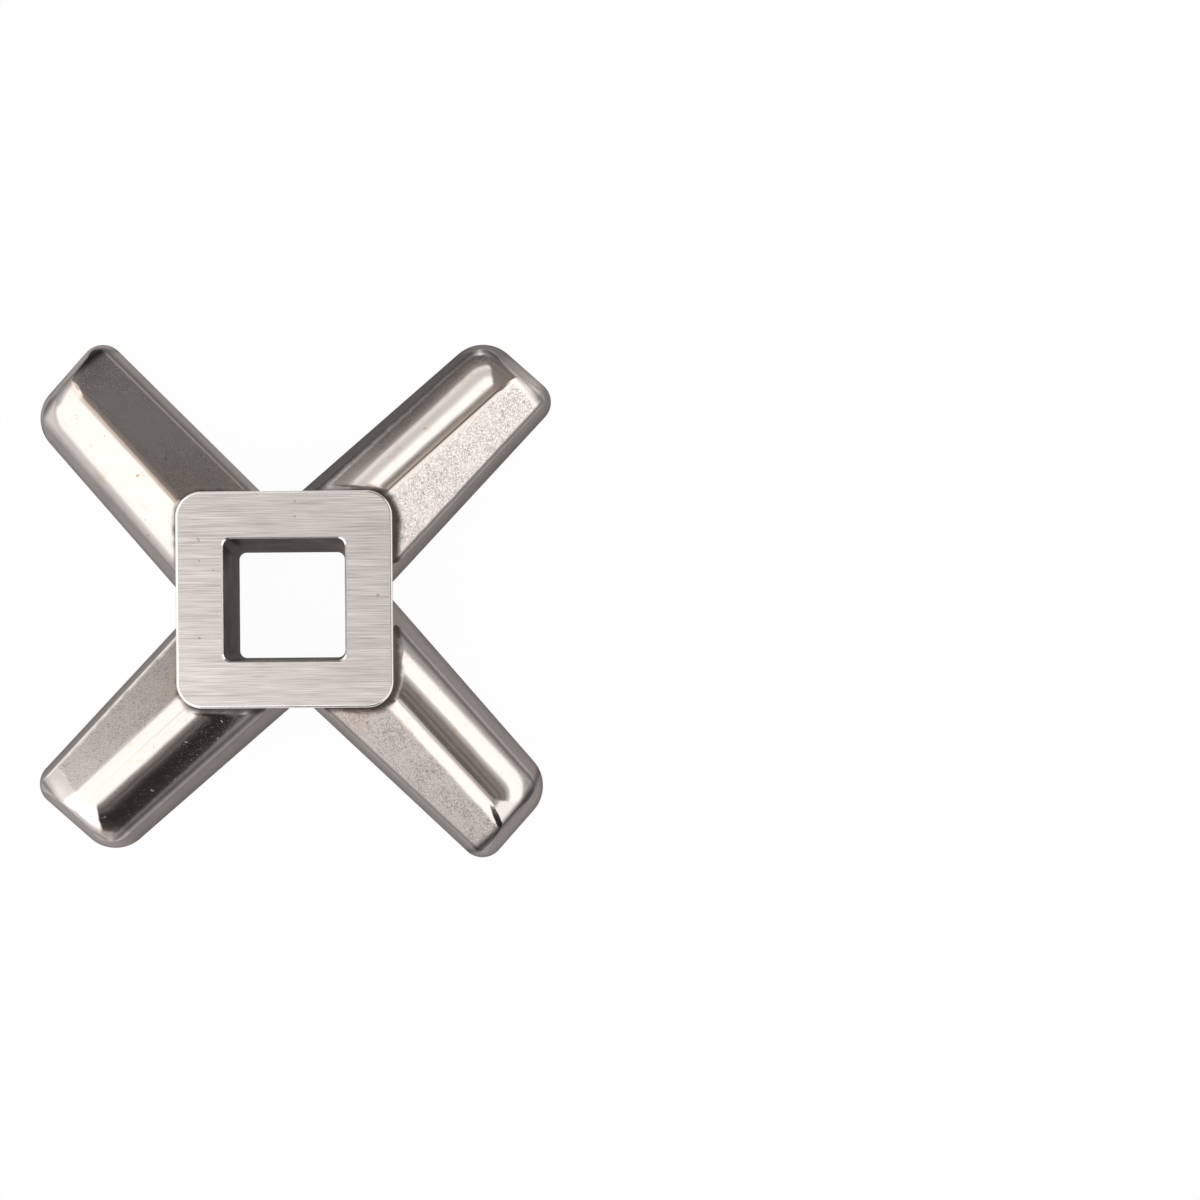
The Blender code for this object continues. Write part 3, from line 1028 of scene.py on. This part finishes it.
def facet_finish(board, where):
    tone, relief = board.measure("tone"), board.measure("relief")
    grain = board.noise(where, GROOVE_SCALE, detail=2.0, roughness=0.55, distortion=0.7)
    groove = (1 - board.ease(abs(grain - 0.5), 0.0, 0.055)) * relief
    cluster = board.ease(board.noise(where, 420, detail=2.0), 0.42, 0.62)
    groove = groove * (0.7 + 0.3 * cluster)
    fine = board.noise(where, 8500, detail=2.0, roughness=0.6)
    pit = board.ease(board.noise(where, 2700, detail=1.0), 0.68, 0.76)
    cut = scratches(board, where, turn=0.5, length=0.0018, width=0.00005, share=0.1)
    cut = cut + scratches(board, where, turn=-0.9, length=0.0012, width=0.00005, share=0.09)
    cloud = board.noise(where, 150, detail=3.0)
    # The facet's brightness is partly painted light, set blade by blade
    light = tone * (0.82 + 0.3 * cloud + 0.36 * fine - 0.55 * groove - 0.3 * pit + 0.5 * cut)
    warm = (1 - board.ease(board.measure("gap"), 0.8, 6.0)) * board.ease(cloud, 0.40, 0.60)
    colour = board.blend(board.maths("MAXIMUM", groove, warm), GROUND_TINT, GROOVE_TINT)
    colour = board.shade(colour, light)
    roughness = 0.22 + 0.10 * cloud + 0.12 * groove
    height = relief * (0.007 * fine - 0.008 * pit) - 0.011 * groove - 0.003 * cut
    return Finish(colour, roughness, height)


print("the grooves lie about", round(MM / GROOVE_SCALE, 2), "mm apart")

# %% [markdown]
# ## The polished flank
#
# A flank was polished by hand to almost a mirror. Small pits, tan stains and a few scratches are left in it,
# and the polishing lines run out along the blade. Their noise is laid in the blade's own measures, because
# the piece's coordinates would make them run one way on all four blades.

# %% Polished flank
LINES_PER_MM = 6.0


def flank_finish(board, where):
    along, across = board.measure("along"), board.measure("across")
    lane = {0: along * 0.35, 1: across * LINES_PER_MM, 2: board.measure("blade") * 9.0}
    line = board.wire(0, "ShaderNodeCombineXYZ", None, lane)
    line = board.noise(line, 1.0, detail=3.0, roughness=0.6)
    peen = board.noise(where, 4200, detail=2.0, roughness=0.6)
    near_crest = 1 - board.ease(across, 0.9, 2.1)
    pit = board.ease(board.noise(where, 1500, detail=1.5), 0.735, 0.77)
    stain = board.ease(board.noise(where, 620, detail=3.0, roughness=0.65), 0.60, 0.70)
    haze = board.ease(board.noise(where, 240, detail=3.0), 0.4, 0.75)
    cut = scratches(board, where, turn=1.1, length=0.0030, width=0.00005, share=0.08)
    cut = cut + scratches(board, where, turn=-0.4, length=0.0022, width=0.00004, share=0.07)
    streak = board.ease(line, 0.60, 0.72)
    crest_line = (1 - board.ease(abs(across), 0.1, 0.55)) * board.measure("tan")
    warm = board.maths("MAXIMUM", 0.6 * stain + 0.3 * streak, crest_line)
    colour = board.blend(0.8 * pit, board.blend(warm, STEEL, WARM_STEEL), STAIN)
    roughness = 0.03 + 0.04 * haze + 0.05 * near_crest + 0.2 * pit + 0.12 * cut + 0.14 * streak
    height = 0.0012 * line + 0.0016 * peen * near_crest + 0.0003 * peen - 0.008 * pit - 0.0012 * cut
    return Finish(colour, roughness, height)


print("the polishing lines lie about", round(1 / LINES_PER_MM, 2), "mm apart")

# %% [markdown]
# ## The skin of the walls
#
# The walls were neither ground nor polished. They keep a satin grey skin with soft clouds and dark spots.
# It is painted darker near the foot, a painted contact shade. Its brightness differs from wall to wall,
# partly as painted light and shade for how each wall faces the tent, so it comes from a measure on the mesh.

# %% Wall skin
FOOT_SHADE_TOP = 3.0


def skin_finish(board, where):
    cloud = board.noise(where, 260, detail=3.0)
    grain = board.noise(where, 2200, detail=3.0, roughness=0.6)
    spot = board.ease(board.noise(where, 1700, detail=2.0), 0.68, 0.80)
    # Painted contact shade: the skin darkens towards the foot
    low = 1 - board.ease(board.measure("height"), 0.0, FOOT_SHADE_TOP)
    light = board.measure("skin") * (0.85 + 0.45 * cloud + 0.2 * grain - 0.35 * low - 0.25 * spot)
    relief = 0.010 * cloud + 0.004 * grain - 0.010 * spot
    return Finish(board.shade(SKIN_TINT, light), 0.34 + 0.12 * cloud, relief)


def make_wall_skin():
    material, board, where = new_steel("wall_skin")
    return finish_metal(material, board, skin_finish(board, where), DULL_EDGE)


wall_skin = make_wall_skin()

# %% [markdown]
# ## The blades' upper faces
#
# One material covers the upper faces and the fillets at the hub. Polish lies on the flank, over the crest and
# along the facet's edges. Skin covers what lies below the upper edge, and dirt with a painted shade sits at
# the hub. Painted shade lines darken the walls' upper edges and the tip's edge, and a painted highlight
# brightens the polished rim at some tips. The masks come from the measures, and one noise makes their borders
# wander, as they do in work done by hand.

# %% Upper faces
def make_cast_steel():
    material, board, where = new_steel("cast_steel")
    wander = board.noise(where, 900, detail=2.0) - 0.5
    ridge, gap = board.measure("ridge"), board.measure("gap")
    border, lip = board.measure("border"), board.measure("lip")
    polished = board.ease(ridge + 0.5 * wander, -0.2, 0.25)
    rim = 1 - board.ease(board.measure("rim") + 0.6 * wander, 0.1, 0.55)
    below = board.ease(board.measure("depth"), 0.01, 0.08)
    edge = 1 - board.ease(border + 0.2 * wander, 0.0, 0.3) * board.ease(lip + 0.3 * wander, 0.1, 0.8)
    wall = board.maths("MAXIMUM", below, edge)
    # Painted shade: the face darkens close to the hub, and is rougher there
    near_hub = 1 - board.ease(gap + 0.8 * wander, 0.3, 1.5)
    facet, flank = facet_finish(board, where), flank_finish(board, where)
    upper = mix_finishes(board, board.maths("MAXIMUM", polished, rim), facet, flank)
    whole = mix_finishes(board, wall, upper, skin_finish(board, where))
    # Dirt at the hub, and painted shade in the corners where the blades meet it
    dirt_and_shade = 1 - board.ease(gap + 0.6 * wander, 0.35, 1.15)
    # Painted shade along the flank's lower edge
    lip_shade = (1 - board.ease(lip, 0.1, 1.0)) * (1 - below)
    # Painted shade lines along the upper edges of the walls, at the facet's and the flank's lower edges
    edge_shade_lines = 1 - board.ease(board.maths("MINIMUM", abs(border), abs(lip)), 0.05, 0.24)
    shade = (1 - 0.6 * dirt_and_shade - 0.2 * near_hub) * (1 - 0.2 * lip_shade) * (1 - 0.35 * edge_shade_lines)
    # A painted highlight brightens the polished rim at the tip
    # A painted shade line darkens the tip's upper edge
    shade = shade * (1 - board.measure("line")) * (1 + board.measure("shine") * rim)
    colour = board.blend(0.6 * dirt_and_shade, board.shade(whole.colour, shade), GRIME_AND_SHADE)
    roughness = whole.roughness + 0.3 * dirt_and_shade + 0.15 * near_hub * (1 - wall)
    return finish_metal(material, board, Finish(colour, roughness, whole.height))


cast_steel = make_cast_steel()

# %% [markdown]
# ## The hub's face and its bright rim
#
# The face was brushed in one direction on a belt, which leaves fine level lines of unlike length. The noise
# is drawn out along the belt's direction, once long and once short, with single dark and bright strokes over
# It feeds mostly the colour and the height only a little. An image of brushed metal would repeat and
# would not scale. The belt rounded the rim a little and left it smoother than the face, and its colour is
# painted brighter, a painted highlight.

# %% Brushed face
def make_brushed_face():
    material, board, where = new_steel("brushed_face")
    long_lines = board.noise(board.stretch(where, (95.0, 14000.0, 1.0)), 1.0, detail=2.0, roughness=0.7)
    short_lines = board.noise(board.stretch(where, (280.0, 19000.0, 1.0)), 1.0, detail=1.0, roughness=0.6)
    bands = board.noise(board.stretch(where, (60.0, 1700.0, 1.0)), 1.0, detail=2.0)
    strokes = board.noise(board.stretch(where, (200.0, 14000.0, 1.0)), 1.0, detail=0.0)
    dark, bright = board.ease(strokes, 0.68, 0.76), board.ease(1 - strokes, 0.68, 0.76)
    cloud = board.noise(where, 110, detail=2.0)
    nick = board.ease(board.noise(where, 1500, detail=1.0), 0.755, 0.78)
    line = 0.5 * long_lines + 0.38 * short_lines + 0.12 * bands
    light = 2.3 * line - 0.25 + 0.06 * cloud - 0.3 * nick - 0.22 * dark + 0.15 * bright
    colour = board.shade(STEEL[:3], light)
    height = 0.004 * long_lines + 0.002 * short_lines - 0.006 * nick
    return finish_metal(material, board, Finish(colour, 0.30 + 0.08 * line, height))


def make_highlight_rim():
    material, board, where = new_steel("highlight_rim")
    cloud = board.noise(where, 700, detail=2.0)
    # The rim's colour is painted brighter than the steel: a painted highlight
    colour = board.shade(RIM_HIGHLIGHT_STEEL, 0.9 + 0.2 * cloud)
    return finish_metal(material, board, Finish(colour, 0.18 + 0.1 * cloud, 0.002 * cloud))


brushed_face = make_brushed_face()
highlight_rim = make_highlight_rim()

# %% [markdown]
# ## The drive hole and the cutting face
#
# The hole keeps the dark, dull skin of the mould, drawn out a little along the hole, the way the core was
# pulled. The cutting face was ground round and round on a flat stone, so its lines are circles about the
# hub's axis.

# %% Hole and cutting face
def make_hole_skin():
    material, board, where = new_steel("hole_skin")
    cloud = board.noise(where, 300, detail=3.0)
    grain = board.noise(board.stretch(where, (3000.0, 3000.0, 900.0)), 1.0, detail=3.0)
    colour = board.shade(MOULD_SKIN, 0.1 + 1.5 * cloud + 0.3 * grain)
    height = 0.004 * grain + 0.05 * cloud
    return finish_metal(material, board, Finish(colour, 0.28 + 0.4 * cloud, height), DULL_EDGE)


def make_cutting_face():
    material, board, where = new_steel("cutting_face")
    out = board.wire("Value", "ShaderNodeVectorMath", {"operation": "LENGTH"}, {0: where})
    ring = board.wire(0, "ShaderNodeCombineXYZ", None, {0: out * 7000.0})
    circles = board.noise(ring, 1.0, detail=3.0, roughness=0.6)
    cloud = board.noise(where, 160, detail=3.0)
    cut = scratches(board, where, turn=0.7, length=0.008, width=0.00006, share=0.1)
    cut = cut + scratches(board, where, turn=-1.2, length=0.006, width=0.00005, share=0.1)
    colour = board.shade(STEEL[:3], 0.80 + 0.25 * circles + 0.1 * cloud - 0.1 * cut)
    height = 0.0012 * circles - 0.002 * cut
    return finish_metal(material, board, Finish(colour, 0.24 + 0.1 * cloud, height))


hole_skin = make_hole_skin()
cutting_face = make_cutting_face()

# %% [markdown]
# ## Which face takes which finish
#
# The hub's face, the hole and the steep walls end at real edges, so each of their faces takes its material by
# where it lies and how far it faces up. Masks would draw these borders less sharply.

# %% Give each face its finish
FLAT = 0.999
RIM_SHARE = 0.45
WALL_SHARE = 0.36
HOLE_REACH = HOLE_SIDE / 2 + HUB_HEIGHT * math.tan(HOLE_DRAFT)
FINISHES = (cast_steel, brushed_face, hole_skin, cutting_face, wall_skin, highlight_rim)


def finish_of(face):
    """The material that a face of the knife takes."""
    centre, up = face.center, face.normal.z
    if centre.z > HUB_HEIGHT - RIM_ROUND and up > RIM_SHARE:
        return brushed_face if up > FLAT else highlight_rim
    if up < -FLAT:
        return cutting_face
    if max(abs(centre.x), abs(centre.y)) < HOLE_REACH and centre.z < HUB_HEIGHT:
        return hole_skin
    return wall_skin if up < WALL_SHARE else cast_steel


for material in FINISHES:
    knife.data.materials.append(material)
for face in knife.data.polygons:
    face.material_index = FINISHES.index(finish_of(face))
for index, material in enumerate(FINISHES):
    covered = sum(face.material_index == index for face in knife.data.polygons)
    print(material.name, "covers", covered, "faces")
